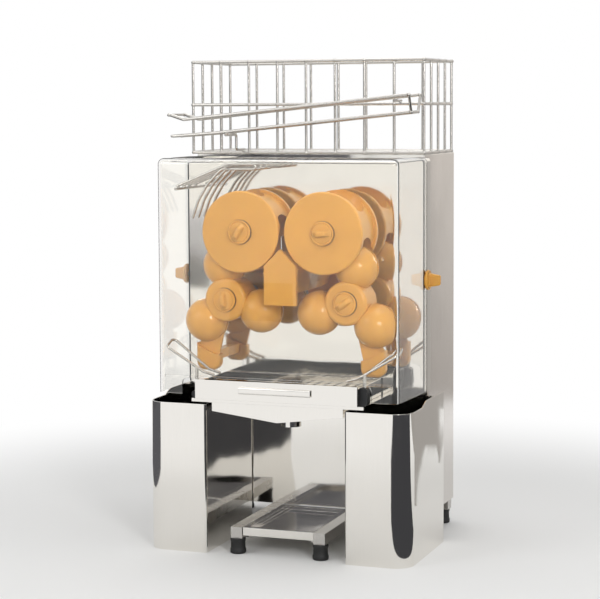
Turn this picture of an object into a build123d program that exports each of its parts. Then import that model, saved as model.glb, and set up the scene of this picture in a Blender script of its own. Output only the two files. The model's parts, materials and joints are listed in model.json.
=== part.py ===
"""Automatic citrus juicer for a counter: millimetres, +Z up, the front faces -Y.

The origin lies on the counter, at the middle of the footprint. Fruit rolls down a wire ramp,
drops through the clear cover into the nip of two cup drums, is halved on a knife and pressed
by two ball drums. Juice runs through a strainer drawer and a trough, peel into two side bins.
"""
import math
import os

from build123d import *

os.makedirs("parts", exist_ok=True)

# Overall frame
footprint_depth = 327.0  # bin fronts to cabinet back
pan_setback = 129.0  # bin fronts to the chamber's back wall
front_y = -footprint_depth / 2
back_y = footprint_depth / 2
pan_y = front_y + pan_setback

# Common stock and clearances
sheet = 1.5  # stainless sheet
seat_gap = 0.3  # between a sliding or lift-off piece and its seat
shaft_gap = 0.05  # radial room of a shaft in its hole
wire_r = 2.0  # guide and basket wire
rail_wire_r = 2.5  # basket rails and ramp rails

# Feet, rails and drip tray
foot_r = 12.0
foot_h = 23.0
foot_taper = 1.0
rail_w = 18.0
rail_h = 17.0
rail_setback = 11.0  # bin fronts to the rail ends
foot_inset = 7.0  # rail end to the front foot's centre
cross_rail_w = 20.0
cross_rail_short = 4.0  # cabinet side to the cross rail's end
cross_rail_inset = 6.0  # cabinet back to the cross rail
tray_w = 111.0
tray_h = 12.0
tray_setback = 13.0  # bin fronts to the drip tray's front
tray_back_gap = 5.0  # drip tray's back to the lower front panel
tray_rim = 9.0
tray_recess = 5.0
tray_side_gap = 0.8
ledge_w = 8.0

# Cabinet and chamber pan
cabinet_w = 368.0
cabinet_corner = 10.0
deck_z = 591.0
panel_setback = 58.0  # pan face to the lower front panel
pan_proud = 9.0  # pan flange beyond the cabinet side
pan_w = cabinet_w + 2 * pan_proud
pan_bottom = 229.0
pan_top = 585.0
pan_flange = 27.0
pan_lip = 14.0
vent_count = 6
vent_w = 120.0
vent_h = 5.0
vent_pitch = 14.0
vent_top = 540.0

# Drum axes
cup_spread = 130.0  # between the two cup drum axes
ball_spread = 190.0  # between the two ball drum axes
axis_distance = 107.5  # a cup drum axis to its ball drum axis
cup_axis_z = 479.0
cup_x = cup_spread / 2
ball_x = ball_spread / 2
ball_axis_z = cup_axis_z - math.sqrt(axis_distance**2 - (ball_x - cup_x) ** 2)
mesh_heading = math.degrees(math.atan2(ball_axis_z - cup_axis_z, ball_x - cup_x))

# Cup drums and ball drums
drum_mid_reach = 56.0  # pan face to the middle plane of the drums
drum_mid = pan_y - drum_mid_reach
ball_r = 33.0
peel_gap = 4.5  # room left for peel between ball and cup
cup_r = ball_r + peel_gap
cup_circle_r = 55.5
ball_circle_r = axis_distance - cup_circle_r
drum_wall = 1.5
drum_gap = 8.0
drum_r = (cup_spread - drum_gap) / 2
drum_half = cup_r + drum_wall
drum_front = drum_mid - drum_half
drum_back = drum_mid + drum_half
drum_edge = 3.0
groove_half = 30.5
groove_depth = 5.0
cup_phase = 313.0  # degrees from +X towards +Z, right cup drum
ball_phase = 2 * mesh_heading + 180 - cup_phase  # a ball meets each cup between the axes
hub_r = 33.0
hub_half = 27.0
hub_edge = 6.0
hub_front = drum_mid - hub_half
hub_back = drum_mid + hub_half
slot_half = 3.5  # ejector slot through each ball
slot_root_r = 36.0
sweep_r = ball_circle_r + ball_r

# Shafts, bearings and gears
shaft_r = 12.5
spindle_r = 10.0
thread_r = 3.5
thread_length = 9.0
bearing_r = 23.5
bearing_w = 12.0
seal_r = 17.0
seal_proud = 4.0
gear_w = 12.0
gear_gap = 6.0
drive_teeth = 22
sync_teeth = 26
pinion_teeth = 14
backlash = 0.5
pressure_angle = 20.0
tooth_above = 0.8  # addendum in modules
tooth_below = 1.0  # dedendum in modules
gear_hub_r = 20.0
gear_hub_w = 4.0
pinion_x = 25.0
pinion_shaft_r = 9.0
plate_side_gap = 32.5  # gear plates to the cabinet's inside
plate_w = cabinet_w - 2 * (sheet + plate_side_gap)
plate_above = 80.0  # cup axes to the plates' top edge
plate_below = 90.0  # ball axes to the plates' bottom edge
plate_corner = 12.0
spacer_r = 9.0
spacer_inset = 16.0
gearbox_w = 92.0
gearbox_depth = 50.0
motor_r = 44.0
motor_length = 60.0

# Planes of the gear train, counted back from the pan
front_plate_y = pan_y + sheet
front_plate_back = front_plate_y + bearing_w
drive_gear_y = front_plate_back + gear_gap
sync_gear_y = drive_gear_y + gear_w + gear_gap
rear_plate_y = sync_gear_y + gear_w + gear_gap
rear_plate_back = rear_plate_y + bearing_w
module = axis_distance / drive_teeth
pinion_distance = module * (drive_teeth + pinion_teeth) / 2
pinion_z = ball_axis_z - math.sqrt(pinion_distance**2 - (ball_x - pinion_x) ** 2)

# Hand nuts and cover knobs
nut_r = 18.0
nut_base = 5.0
nut_edge = 1.5
nut_wing_h = 8.0
wing_foot = 30.0
wing_top = 15.0
wing_t = 9.0
wing_round = 3.0
right_cup_turn = 5.0  # each nut's wing from +X towards +Z
left_cup_turn = 60.0
right_ball_turn = 35.0
left_ball_turn = 95.0
knob_r = 15.0
knob_foot = 25.0
knob_wing_h = 17.0
stud_r = 4.0
stud_z = 406.0
stud_setback = 4.0  # pan face to the stud, backwards
stud_length = 14.0

# Knife
holder_half = 25.0
holder_bottom = 372.0
holder_plate = 8.0
holder_drum_gap = 2.0
ball_front_gap = 4.0
web_gap = 3.0
web_foot_z = 386.0
web_shoulder_z = 424.0
web_steps = 4
blade_t = 1.5
blade_top = 474.0
blade_depth = 12.0
blade_front_gap = 3.0
blade_back_gap = 20.0
blade_bevel = 4.0

# Strainer drawer, juice trough and guide blocks
lip_z = 231.0
lip_h = 5.0
lip_half = 135.0
trough_half = 103.0
trough_side_z = 213.0
trough_low_z = 200.0
trough_reach = 118.0  # pan face to the trough's front
spout_r = 15.0
spout_bottom = 186.0
drawer_half = 125.5
drawer_h = 25.0
drawer_reach = 125.0  # pan face to the drawer's front face
drawer_back_gap = 4.0
drawer_front_half = 127.0
drawer_front_h = 29.0
drawer_front_t = 2.0
strainer_slots = 11
strainer_slot_w = 4.0
strainer_pitch = 16.0
strainer_border = 22.0
handle_length = 112.0
handle_h = 11.0
handle_depth = 4.0
handle_wall = 1.2
handle_z = 247.0
block_half_gap = 0.6
block_w = 12.0
block_depth = 14.0
block_top = 257.0
low_block_top = 241.0
block_reach = 112.0

# Peel ejectors and peel guides
ejector_gap = 3.0
ejector_half = 10.0
ejector_in = 112.0
ejector_out = 150.0
ejector_top = 320.0
ejector_floor_gap = 6.0
ejector_round = 13.0
ejector_edge = 6.0
fin_half = 2.0
fin_tip_gap = 2.0
fin_start = -77.0
fin_end = -53.0
stem_half = 8.0
stem_h = 14.0
stem_drop = 6.0  # stem's top below the ball sweep
guide_in_x = 104.0
guide_in_z = 265.0
guide_knee_x = 122.0
guide_knee_z = 270.0
guide_side_gap = 2.0
guide_peak_z = 305.0
guide_back_reach = 80.0
guide_back_rise = 10.0
guide_bend = 7.0
post_r = 2.6
post_depth = 8.0

# Peel bins
bin_in = 108.5
bin_proud = 22.0  # bin's outer side beyond the cabinet side
bin_out = cabinet_w / 2 + bin_proud
bin_h = 224.0
bin_back_gap = 0.4
bin_corner = 28.0
bin_small_corner = 4.0
ear_reach = 60.0  # pan face to the front of the raised outer side
ear_run = 20.0
ear_h = 8.0

# Clear cover
cover_t = 3.0
cover_gap = 0.4
cover_reach = 124.0  # pan face to the cover's front face
cover_lap = 8.0  # behind the pan face, in the pan's step
cover_draft = 2.6  # degrees that each side leans in towards the front
cover_bottom = 238.0
cover_corner = 10.0
cover_top_round = 9.0
cover_rib = 3.0
notch_half = 148.0
notch_top = 262.0
notch_round = 8.0
inlet_left = -178.0
inlet_right = -92.0
inlet_front_reach = 102.0
inlet_back_reach = 12.0
inlet_round = 14.0
stud_slot_room = 0.8

# Wire basket
basket_proud = 2.0  # basket's end rails beyond the cabinet side
basket_half = cabinet_w / 2 + basket_proud
basket_front_setback = 15.5  # pan face to the basket's front wires
basket_depth = 151.5
basket_top = 735.0
basket_mid = 667.0
basket_bays = 8
basket_side_bays = 4
weld_gap = 0.2

# Feed ramp
ramp_front_reach = 63.0
ramp_back_reach = 5.0
ramp_rod_spread = 35.0
ramp_right = 184.0
ramp_left = -168.0
ramp_end = -190.0
ramp_above_mid = 13.0  # upper rails' right ends above the basket's middle rail
ramp_fall = 35.0
ramp_flare = 7.0
ramp_rod_drop = 25.0
ramp_tail = -120.0
ramp_tail_fall = 5.0
ramp_leg_x = -104.0
hook_over = 6.0
hook_bend = 4.0

# Feed cradle
cradle_planes = 4
cradle_pitch = 22.0
cradle_top_r = 98.0  # round the left cup drum's axis, narrowing to the wires' ends
cradle_end_r = 80.5
cradle_start = 108.5
cradle_stop = 165.5
cradle_steps = 3
cradle_bow_bend = 42.0
cradle_shelf_z = 579.0
cradle_shelf_x = -86.0
cradle_turn_x = -42.0
cradle_low_x = -168.0
cradle_low_z = 546.0
cradle_knee_bend = 24.0
cradle_turn_bend = 2.9

# Electrical pieces
switch_y = 30.0
switch_z = 520.0
switch_w = 16.0
switch_h = 28.0
bezel_border = 4.0
bezel_t = 2.0
switch_body_depth = 20.0
rocker_gap = 0.5
rocker_proud = 3.0
rocker_arm = 2.0
rocker_tilt = 8.0
inlet_socket_w = 28.0
inlet_socket_h = 48.0
inlet_socket_depth = 26.0
inlet_socket_x = 120.0
inlet_socket_z = 90.0
socket_mouth_depth = 18.0
socket_wall = 3.0
box_w = 120.0
box_depth = 70.0
box_h = 80.0
box_x = -90.0
interlock_w = 20.0
interlock_depth = 16.0
interlock_h = 28.0
interlock_x = 150.0
interlock_drop = 24.0


def block(x0, x1, y0, y1, z0, z1):
    """A block between two opposite corners."""
    return Pos((x0 + x1) / 2, (y0 + y1) / 2, (z0 + z1) / 2) * Box(x1 - x0, y1 - y0, z1 - z0)


def plan_block(x0, x1, y0, y1, z0, z1, corners):
    """A block with its upright edges rounded: front left, front right, back right, back left."""
    outline = FilletPolyline((x0, y0), (x1, y0), (x1, y1), (x0, y1), radius=corners, close=True)
    return Pos(0, 0, z0) * extrude(make_face(outline), z1 - z0)


def arch(half, y0, y1, z0, z1, corner):
    """A block about the middle plane with its two top edges rounded as seen from the front."""
    form = block(-half, half, y0, y1, z0, z1)
    return fillet(form.edges().filter_by(Axis.Y).sort_by(Axis.Z)[-2:], corner)


def front_prism(points, y0, y1):
    """An outline of (x, z) points, seen from the front, run from y0 back to y1."""
    face = make_face(Polyline(*points, close=True))
    plane = Plane(origin=(0, y1, 0), x_dir=(1, 0, 0), z_dir=(0, -1, 0))
    return extrude(plane * face, y1 - y0)


def rod_y(x, z, radius, y0, y1):
    """A round bar along Y."""
    return Pos(x, (y0 + y1) / 2, z) * Rot(90, 0, 0) * Cylinder(radius, y1 - y0)


def rod_x(y, z, radius, x0, x1):
    """A round bar along X."""
    return Pos((x0 + x1) / 2, y, z) * Rot(0, 90, 0) * Cylinder(radius, x1 - x0)


def rod_z(x, y, radius, z0, z1):
    """A round upright bar."""
    return Pos(x, y, (z0 + z1) / 2) * Cylinder(radius, z1 - z0)


def bent_wire(points, radius, bend):
    """A wire of round section along straight runs joined by arcs."""
    path = FilletPolyline(*points, radius=bend)
    section = Plane(origin=path @ 0, z_dir=path % 0) * Circle(radius)
    return sweep(section, path=path)


def polar(x, z, radius, degrees):
    """The (x, z) point at an angle from +X towards +Z about a drum axis."""
    angle = math.radians(degrees)
    return (x + radius * math.cos(angle), z + radius * math.sin(angle))


def left(shape):
    """The left-hand twin of a right-hand piece."""
    return mirror(shape, about=Plane.YZ)


def ring_y(x, z, outer, inner, y0, y1):
    """A ring about an axis along Y."""
    return rod_y(x, z, outer, y0, y1) - rod_y(x, z, inner, y0, y1)


# Base
rail_in = tray_w / 2 + tray_side_gap
rail_out = rail_in + rail_w
rail_top = foot_h + rail_h
rail_front = front_y + rail_setback
cross_back = back_y - cross_rail_inset
cross_front = cross_back - cross_rail_w
cross_half = cabinet_w / 2 - cross_rail_short
panel_y = pan_y + panel_setback


def base_frame():
    """Two front-to-back rails with a ledge for the drip tray, welded to a rear cross rail."""
    ledge_top = rail_top - tray_h - seat_gap
    rail = block(rail_in, rail_out, rail_front, cross_back, foot_h, rail_top)
    rail += block(rail_in - ledge_w, rail_in, rail_front + tray_setback, panel_y, foot_h, ledge_top)
    cross = block(-cross_half, cross_half, cross_front, cross_back, foot_h, rail_top)
    return rail + left(rail) + cross


def rubber_feet():
    """Four tapered feet, two under the rail ends and two under the cross rail."""
    foot = Pos(0, 0, foot_h / 2) * Cone(foot_r, foot_r - foot_taper, foot_h)
    front_x = (rail_in + rail_out) / 2
    front = rail_front + foot_inset
    rear = (cross_front + cross_back) / 2
    rear_x = cross_half - foot_r
    spots = [(front_x, front), (-front_x, front), (rear_x, rear), (-rear_x, rear)]
    return Compound([Pos(x, y, 0) * foot for x, y in spots])


def drip_tray():
    """A folded tray that slides out between the rails, with a sunk floor inside its rim."""
    half = tray_w / 2
    y0 = front_y + tray_setback
    y1 = panel_y - tray_back_gap
    bottom = rail_top - tray_h
    floor = rail_top - tray_recess
    tray = block(-half, half, y0, y1, bottom, rail_top)
    tray -= block(-half + tray_rim, half - tray_rim, y0 + tray_rim, y1 - tray_rim, floor, rail_top)
    tray -= block(-half + sheet, half - sheet, y0 + sheet, y1 - sheet, bottom, floor - sheet)
    return tray


# Cover's seat on the pan
cover_lean = math.tan(math.radians(cover_draft))
cover_back = pan_y + cover_lap - seat_gap
cover_front = pan_y - cover_reach
top_step = cover_t + cover_gap
side_step = top_step + cover_lap * cover_lean


def cover_half(y):
    """Half of the cover's outer width at a place from front to back."""
    return pan_w / 2 - (cover_back - y) * cover_lean


# Cabinet
half_cabinet = cabinet_w / 2
shell_front = pan_y + pan_flange
shell_corners = (0, 0, cabinet_corner, cabinet_corner)
inner_corners = (0, 0, cabinet_corner - sheet, cabinet_corner - sheet)


def cabinet_floor():
    """The cabinet's bottom plate, on the rails."""
    inner = half_cabinet - sheet
    return plan_block(
        -inner, inner, panel_y + sheet, back_y - sheet, rail_top, rail_top + sheet, inner_corners
    )


def cabinet_shell():
    """One bent sheet for both sides and the back, stepped back below the chamber."""
    inner = half_cabinet - sheet
    top = deck_z - sheet
    shell = plan_block(
        -half_cabinet, half_cabinet, shell_front, back_y, rail_top, top, shell_corners
    )
    shell -= plan_block(
        -inner, inner, shell_front - sheet, back_y - sheet, rail_top, top, inner_corners
    )
    shell -= block(
        -half_cabinet, half_cabinet, shell_front, panel_y + sheet, rail_top, pan_bottom
    )
    for row in range(vent_count):
        z = vent_top - row * vent_pitch
        shell -= block(-vent_w / 2, vent_w / 2, back_y - sheet, back_y, z - vent_h, z)
    x, z = inlet_socket_x, inlet_socket_z
    w, h = inlet_socket_w / 2, inlet_socket_h / 2
    shell -= block(x - w, x + w, back_y - sheet, back_y, z - h, z + h)
    w, h = switch_w / 2 + seat_gap, switch_h / 2 + seat_gap
    shell -= block(
        -half_cabinet, -inner, switch_y - w, switch_y + w, switch_z - h, switch_z + h
    )
    return shell


def top_deck():
    """The cabinet's top plate with a front lip that meets the pan's top flange."""
    z0 = deck_z - sheet
    deck = plan_block(
        -half_cabinet, half_cabinet, shell_front, back_y, z0, deck_z, shell_corners
    )
    return deck + block(
        -half_cabinet + sheet, half_cabinet - sheet, shell_front, shell_front + sheet, pan_top, z0
    )


def lower_front_panel():
    """The polished panel behind the bins and the glass space."""
    return block(
        -half_cabinet, half_cabinet, panel_y, panel_y + sheet, rail_top, pan_bottom
    )


def chamber_pan():
    """The chamber's back wall: a folded pan, stepped for the cover, with a shelf below."""
    half = pan_w / 2
    edge = pan_y + cover_lap
    back = pan_y + pan_flange
    corner = cover_top_round - cover_t
    pan = arch(half - side_step, pan_y, edge, pan_bottom, pan_top, corner)
    pan += arch(half, edge, back, pan_bottom, pan_top + top_step, cover_top_round)
    inner = half - side_step - sheet
    top = pan_top - sheet
    pan -= arch(inner, pan_y + sheet, back - sheet, pan_bottom + sheet, top, corner - sheet)
    pan -= block(
        -half + pan_lip, half - pan_lip, back - sheet, back, pan_bottom + sheet, pan_top - pan_lip
    )
    shelf = half_cabinet - sheet
    pan += block(-shelf, shelf, pan_y, panel_y + sheet, pan_bottom, pan_bottom + sheet)
    for x, z in drum_axes():
        pan -= rod_y(x, z, seal_r, pan_y, pan_y + sheet)
    return pan


# Gear train
def drum_axes():
    """The four drum axes as (x, z): right cup, left cup, right ball, left ball."""
    return [
        (cup_x, cup_axis_z), (-cup_x, cup_axis_z), (ball_x, ball_axis_z), (-ball_x, ball_axis_z)
    ]


def gear_plate(y0):
    """One of the two plates that hold the shaft bearings."""
    z0 = ball_axis_z - plate_below
    z1 = cup_axis_z + plate_above
    plate = block(-plate_w / 2, plate_w / 2, y0, y0 + bearing_w, z0, z1)
    plate = fillet(plate.edges().filter_by(Axis.Y), plate_corner)
    for x, z in drum_axes():
        plate -= rod_y(x, z, bearing_r, y0, y0 + bearing_w)
    return plate


def rear_gear_plate():
    """The rear plate, with a pilot hole for the gearmotor."""
    y0 = rear_plate_y
    return gear_plate(y0) - rod_y(
        pinion_x, pinion_z, pinion_shaft_r + gear_gap, y0, y0 + bearing_w
    )


def gear_spacers():
    """Four spacers between the plates."""
    x = plate_w / 2 - spacer_inset
    low = ball_axis_z - plate_below + spacer_inset
    high = cup_axis_z + plate_above - spacer_inset
    spots = [(x, low), (-x, low), (x, high), (-x, high)]
    return Compound([rod_y(x, z, spacer_r, front_plate_back, rear_plate_y) for x, z in spots])


def shaft_bearings():
    """Eight bearings, two to a shaft."""
    rings = []
    for y in (front_plate_y, rear_plate_y):
        for x, z in drum_axes():
            rings.append(ring_y(x, z, bearing_r, shaft_r + shaft_gap, y, y + bearing_w))
    return Compound(rings)


def shaft_seals():
    """A rubber seal round each shaft where it leaves the pan."""
    inner = shaft_r + shaft_gap
    y0 = pan_y - seal_proud
    return Compound([ring_y(x, z, seal_r, inner, y0, front_plate_y) for x, z in drum_axes()])


def shaft(x, z, seat_front, shoulder):
    """A drum shaft: journal, shouldered spindle for the drum and a threaded end."""
    bar = rod_y(x, z, shaft_r, shoulder, rear_plate_back)
    bar += rod_y(x, z, spindle_r, seat_front, shoulder)
    return bar + rod_y(x, z, thread_r, seat_front - thread_length, seat_front)


def tooth_points(teeth, pitch_r, phase):
    """The gear outline: root, pitch and tip points of every tooth on its involute flanks."""
    size = 2 * pitch_r / teeth
    base_r = pitch_r * math.cos(math.radians(pressure_angle))
    half_pitch = math.pi / (2 * teeth) - backlash / (4 * pitch_r)

    def half_angle(radius):
        def involute(r):
            a = math.acos(min(1.0, base_r / r))
            return math.tan(a) - a

        return half_pitch + involute(pitch_r) - involute(radius)

    radii = [pitch_r - tooth_below * size, pitch_r, pitch_r + tooth_above * size]
    points = []
    for k in range(teeth):
        centre = math.radians(phase) + 2 * math.pi * k / teeth
        flank = [(r, half_angle(r)) for r in radii]
        for r, a in flank:
            points.append((r * math.cos(centre - a), r * math.sin(centre - a)))
        for r, a in reversed(flank):
            points.append((r * math.cos(centre + a), r * math.sin(centre + a)))
    return points


def spur_gear(x, z, teeth, pitch_r, phase, y0, bore_r, hub_r):
    """A spur gear with a hub behind it."""
    outline = [(x + px, z + pz) for px, pz in tooth_points(teeth, pitch_r, phase)]
    gear = front_prism(outline, y0, y0 + gear_w)
    gear += rod_y(x, z, hub_r, y0 + gear_w, y0 + gear_w + gear_hub_w)
    return gear - rod_y(x, z, bore_r, y0, y0 + gear_w + gear_hub_w)


ball_gear_phase = mesh_heading + 180 + 180 / drive_teeth
pinion_heading = math.degrees(math.atan2(pinion_z - ball_axis_z, pinion_x - ball_x))
pinion_lag = (pinion_heading - ball_gear_phase) * drive_teeth / pinion_teeth
pinion_phase = pinion_heading + 180 + 180 / pinion_teeth + pinion_lag


def drive_gear(x, z, phase):
    """One of the four gears that tie each cup drum to its ball drum."""
    bore = shaft_r + shaft_gap
    return spur_gear(x, z, drive_teeth, axis_distance / 2, phase, drive_gear_y, bore, gear_hub_r)


def sync_gear(x, phase):
    """One of the two gears that tie the cup drums together."""
    bore = shaft_r + shaft_gap
    return spur_gear(
        x, cup_axis_z, sync_teeth, cup_spread / 2, phase, sync_gear_y, bore, gear_hub_r
    )


def motor_pinion():
    """The gearmotor's output shaft with its pinion."""
    pitch_r = module * pinion_teeth / 2
    pinion = spur_gear(
        pinion_x, pinion_z, pinion_teeth, pitch_r, pinion_phase, drive_gear_y,
        pinion_shaft_r, pinion_shaft_r + gear_hub_w,
    )
    end = rear_plate_back + gearbox_depth / 2
    return pinion + rod_y(pinion_x, pinion_z, pinion_shaft_r, drive_gear_y, end)


def gearmotor():
    """A square gearbox on the rear plate with a round motor behind it."""
    half = gearbox_w / 2
    y0 = rear_plate_back
    y1 = y0 + gearbox_depth
    case = block(pinion_x - half, pinion_x + half, y0, y1, pinion_z - half, pinion_z + half)
    case = fillet(case.edges().filter_by(Axis.Y), plate_corner)
    case += rod_y(pinion_x, pinion_z, motor_r, y1, y1 + motor_length)
    return case - rod_y(
        pinion_x, pinion_z, pinion_shaft_r + shaft_gap, y0, y0 + gearbox_depth / 2 + gear_hub_w
    )


# Drums
def cup_drum():
    """The right cup drum: a grooved cylinder with three round pockets."""
    drum = rod_y(cup_x, cup_axis_z, drum_r, drum_front, drum_back)
    drum = fillet(drum.edges().filter_by(GeomType.CIRCLE), drum_edge)
    drum -= ring_y(
        cup_x, cup_axis_z, drum_r + drum_edge, drum_r - groove_depth,
        drum_mid - groove_half, drum_mid + groove_half,
    )
    for k in range(3):
        x, z = polar(cup_x, cup_axis_z, cup_circle_r, cup_phase + 120 * k)
        drum -= Pos(x, drum_mid, z) * Sphere(cup_r)
    return drum - rod_y(cup_x, cup_axis_z, spindle_r + shaft_gap, drum_front, drum_back)


def ball_drum():
    """The right ball drum: a hub with three balls, each slotted for the peel ejector."""
    drum = rod_y(ball_x, ball_axis_z, hub_r, hub_front, hub_back)
    drum = fillet(drum.edges().filter_by(GeomType.CIRCLE), hub_edge)
    for k in range(3):
        x, z = polar(ball_x, ball_axis_z, ball_circle_r, ball_phase + 120 * k)
        drum += Pos(x, drum_mid, z) * Sphere(ball_r)
    drum -= ring_y(
        ball_x, ball_axis_z, sweep_r + slot_half, slot_root_r,
        drum_mid - slot_half, drum_mid + slot_half,
    )
    return drum - rod_y(
        ball_x, ball_axis_z, spindle_r + shaft_gap, drum_mid - ball_r, drum_mid + ball_r
    )


def hand_nut(radius, foot, wing_h, bore_r, bore_depth):
    """A round nut with a tapered wing grip, on its base with the grip up."""
    nut = Pos(0, 0, nut_base / 2) * Cylinder(radius, nut_base)
    rim = nut.edges().filter_by(GeomType.CIRCLE).sort_by(Axis.Z)[-1]
    nut = fillet(rim, nut_edge)
    sides = [(-foot / 2, 0), (foot / 2, 0), (wing_top / 2, wing_h), (-wing_top / 2, wing_h)]
    wing = extrude(Plane.XZ * make_face(Polyline(*sides, close=True)), wing_t / 2, both=True)
    wing = fillet(wing.edges().filter_by(Axis.Y).sort_by(Axis.Z)[-2:], wing_round)
    nut += Pos(0, 0, nut_base) * wing
    return nut - Pos(0, 0, bore_depth / 2) * Cylinder(bore_r, bore_depth)


def drum_nut(x, z, seat_front, turn):
    """A nut on a drum's front face, its wing turned by an angle from +X towards +Z."""
    nut = hand_nut(nut_r, wing_foot, nut_wing_h, thread_r + shaft_gap, thread_length + seat_gap)
    return Pos(x, seat_front, z) * Rot(90, 0, 0) * Rot(0, 0, turn) * nut


def cover_knob():
    """The right cover knob, on its stud outside the cover."""
    knob = hand_nut(knob_r, knob_foot, knob_wing_h, stud_r + shaft_gap, stud_length)
    x = pan_w / 2 + seat_gap
    return Pos(x, pan_y + stud_setback, stud_z) * Rot(0, 90, 0) * knob


def cover_studs():
    """A threaded stud on each side of the pan."""
    x0 = pan_w / 2 - side_step
    x1 = pan_w / 2 + stud_length
    stud = rod_x(pan_y + stud_setback, stud_z, stud_r, x0, x1)
    return Compound([stud, left(stud)])


# Knife
apex_z = cup_x + cup_axis_z - math.sqrt(2) * (drum_r + holder_drum_gap)
holder_back = drum_mid - ball_r - ball_front_gap
holder_front = holder_back - holder_plate


def web_half(z):
    """Half of the room between the two ball sweeps at one height."""
    rise = z - ball_axis_z
    return ball_x - math.sqrt(sweep_r**2 - rise**2) - web_gap


def knife_holder():
    """A roofed front plate on a web that runs back to the pan between the ball drums."""
    shoulder = apex_z - holder_half
    plate = front_prism(
        [(-holder_half, holder_bottom), (holder_half, holder_bottom), (holder_half, shoulder),
         (0, apex_z), (-holder_half, shoulder)],
        holder_front, holder_back,
    )
    rise = (web_shoulder_z - web_foot_z) / web_steps
    side = [web_foot_z + k * rise for k in range(web_steps + 1)]
    outline = [(web_half(z), z) for z in side] + [(0, apex_z - web_gap)]
    outline += [(-web_half(z), z) for z in reversed(side)]
    web = front_prism(outline, holder_back, pan_y)
    slot = block(
        -blade_t / 2, blade_t / 2, holder_back, pan_y - blade_back_gap, apex_z - blade_depth, apex_z
    )
    return plate + web - slot


def knife_blade():
    """A flat blade standing in the holder's slot, bevelled to an edge."""
    y0 = holder_back
    y1 = pan_y - blade_back_gap
    half = blade_t / 2
    z0 = apex_z - blade_depth
    edge = blade_top - blade_bevel
    outline = [(-half, z0), (half, z0), (half, edge), (0, blade_top), (-half, edge)]
    return front_prism(outline, y0, y1)


# Juice path
lip_front = pan_y - trough_reach - sheet
guide_y = pan_y - block_reach + block_depth / 2
post_x = drawer_half + block_half_gap + block_w / 2


def juice_trough():
    """A funnel with a V floor and a spout under a flat lip that carries the drawer."""
    y0 = pan_y - trough_reach
    top = lip_z - lip_h
    outer = [(-trough_half, top), (-trough_half, trough_side_z), (0, trough_low_z),
             (trough_half, trough_side_z), (trough_half, top)]
    inner = trough_half - sheet
    hollow = [(-inner, lip_z), (-inner, trough_side_z + sheet), (0, trough_low_z + sheet),
              (inner, trough_side_z + sheet), (inner, lip_z)]
    trough = front_prism(outer, y0, pan_y)
    trough += block(-lip_half, lip_half, lip_front, pan_y, top, lip_z)
    trough += rod_z(0, drum_mid, spout_r, spout_bottom, trough_side_z)
    trough -= front_prism(hollow, y0 + sheet, pan_y - sheet)
    return trough - rod_z(0, drum_mid, spout_r - sheet, spout_bottom, trough_side_z)


def strainer_drawer():
    """A drawer with a slotted floor, a folded front and a hooded finger pull."""
    front = pan_y - drawer_reach
    back = pan_y - drawer_back_gap
    z0 = lip_z + seat_gap
    y0 = front + drawer_front_t
    drawer = block(-drawer_half, drawer_half, y0, back, z0, z0 + drawer_h)
    drawer -= block(
        -drawer_half + sheet, drawer_half - sheet, y0, back - sheet, z0 + sheet, z0 + drawer_h
    )
    for k in range(strainer_slots):
        x = (k - (strainer_slots - 1) / 2) * strainer_pitch
        drawer -= block(
            x - strainer_slot_w / 2, x + strainer_slot_w / 2, y0 + strainer_border,
            back - strainer_border, z0, z0 + sheet,
        )
    drawer += block(-drawer_front_half, drawer_front_half, front, y0, z0, z0 + drawer_front_h)
    half = handle_length / 2
    low = handle_z - handle_h / 2
    high = handle_z + handle_h / 2
    pull = block(-half, half, front - handle_depth, front, low, high)
    pull = fillet(pull.edges().filter_by(Axis.X).sort_by(Axis.Y)[:2], handle_depth - handle_wall)
    inner_depth = handle_depth - handle_wall
    pull -= block(-half, half, front - inner_depth, front, low, high - handle_wall)
    return drawer + pull


def guide_block(top):
    """A block on the right end of the lip, with a hole for the peel guide's post."""
    x0 = drawer_half + block_half_gap
    piece = block(x0, x0 + block_w, guide_y - block_depth / 2, guide_y + block_depth / 2, lip_z, top)
    piece = fillet(piece.edges().filter_by(Axis.Y).sort_by(Axis.X)[-2:], bin_small_corner)
    return piece - rod_z(post_x, guide_y, post_r + shaft_gap, top - post_depth, top)


def guide_blocks():
    """A tall black block on the right and a low one on the left, beside the drawer."""
    return Compound([guide_block(block_top), left(guide_block(low_block_top))])


# Peel path
def peel_ejector():
    """The right ejector: a post under the ball sweep with a fin that runs in the ball slots."""
    z0 = lip_z + drawer_front_h + ejector_floor_gap
    clear = sweep_r + ejector_gap
    y0 = drum_mid - ejector_half
    y1 = drum_mid + ejector_half
    post = block(ejector_in, ejector_out, y0, y1, z0, ejector_top)
    post = fillet(post.edges().filter_by(Axis.Y).sort_by(Axis.Z)[:2], ejector_round)
    rims = [face.edges().sort_by(Axis.Z)[:-1] for face in post.faces().filter_by(Axis.Y)]
    post = fillet(rims[0] + rims[1], ejector_edge)
    post -= rod_y(ball_x, ball_axis_z, clear, y0, y1)
    reach = sweep_r + ejector_top
    wedge = [(ball_x, ball_axis_z), polar(ball_x, ball_axis_z, reach, fin_start),
             polar(ball_x, ball_axis_z, reach, fin_end)]
    fin = ring_y(
        ball_x, ball_axis_z, clear + ejector_gap, slot_root_r + fin_tip_gap,
        drum_mid - fin_half, drum_mid + fin_half,
    )
    fin &= front_prism(wedge, drum_mid - fin_half, drum_mid + fin_half)
    middle = (ejector_in + ejector_out) / 2
    top = ball_axis_z - math.sqrt(clear**2 - (middle + stem_half - ball_x) ** 2) - stem_drop
    stem = block(middle - stem_half, middle + stem_half, y1, pan_y, top - stem_h, top)
    return post + fin + stem


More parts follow.
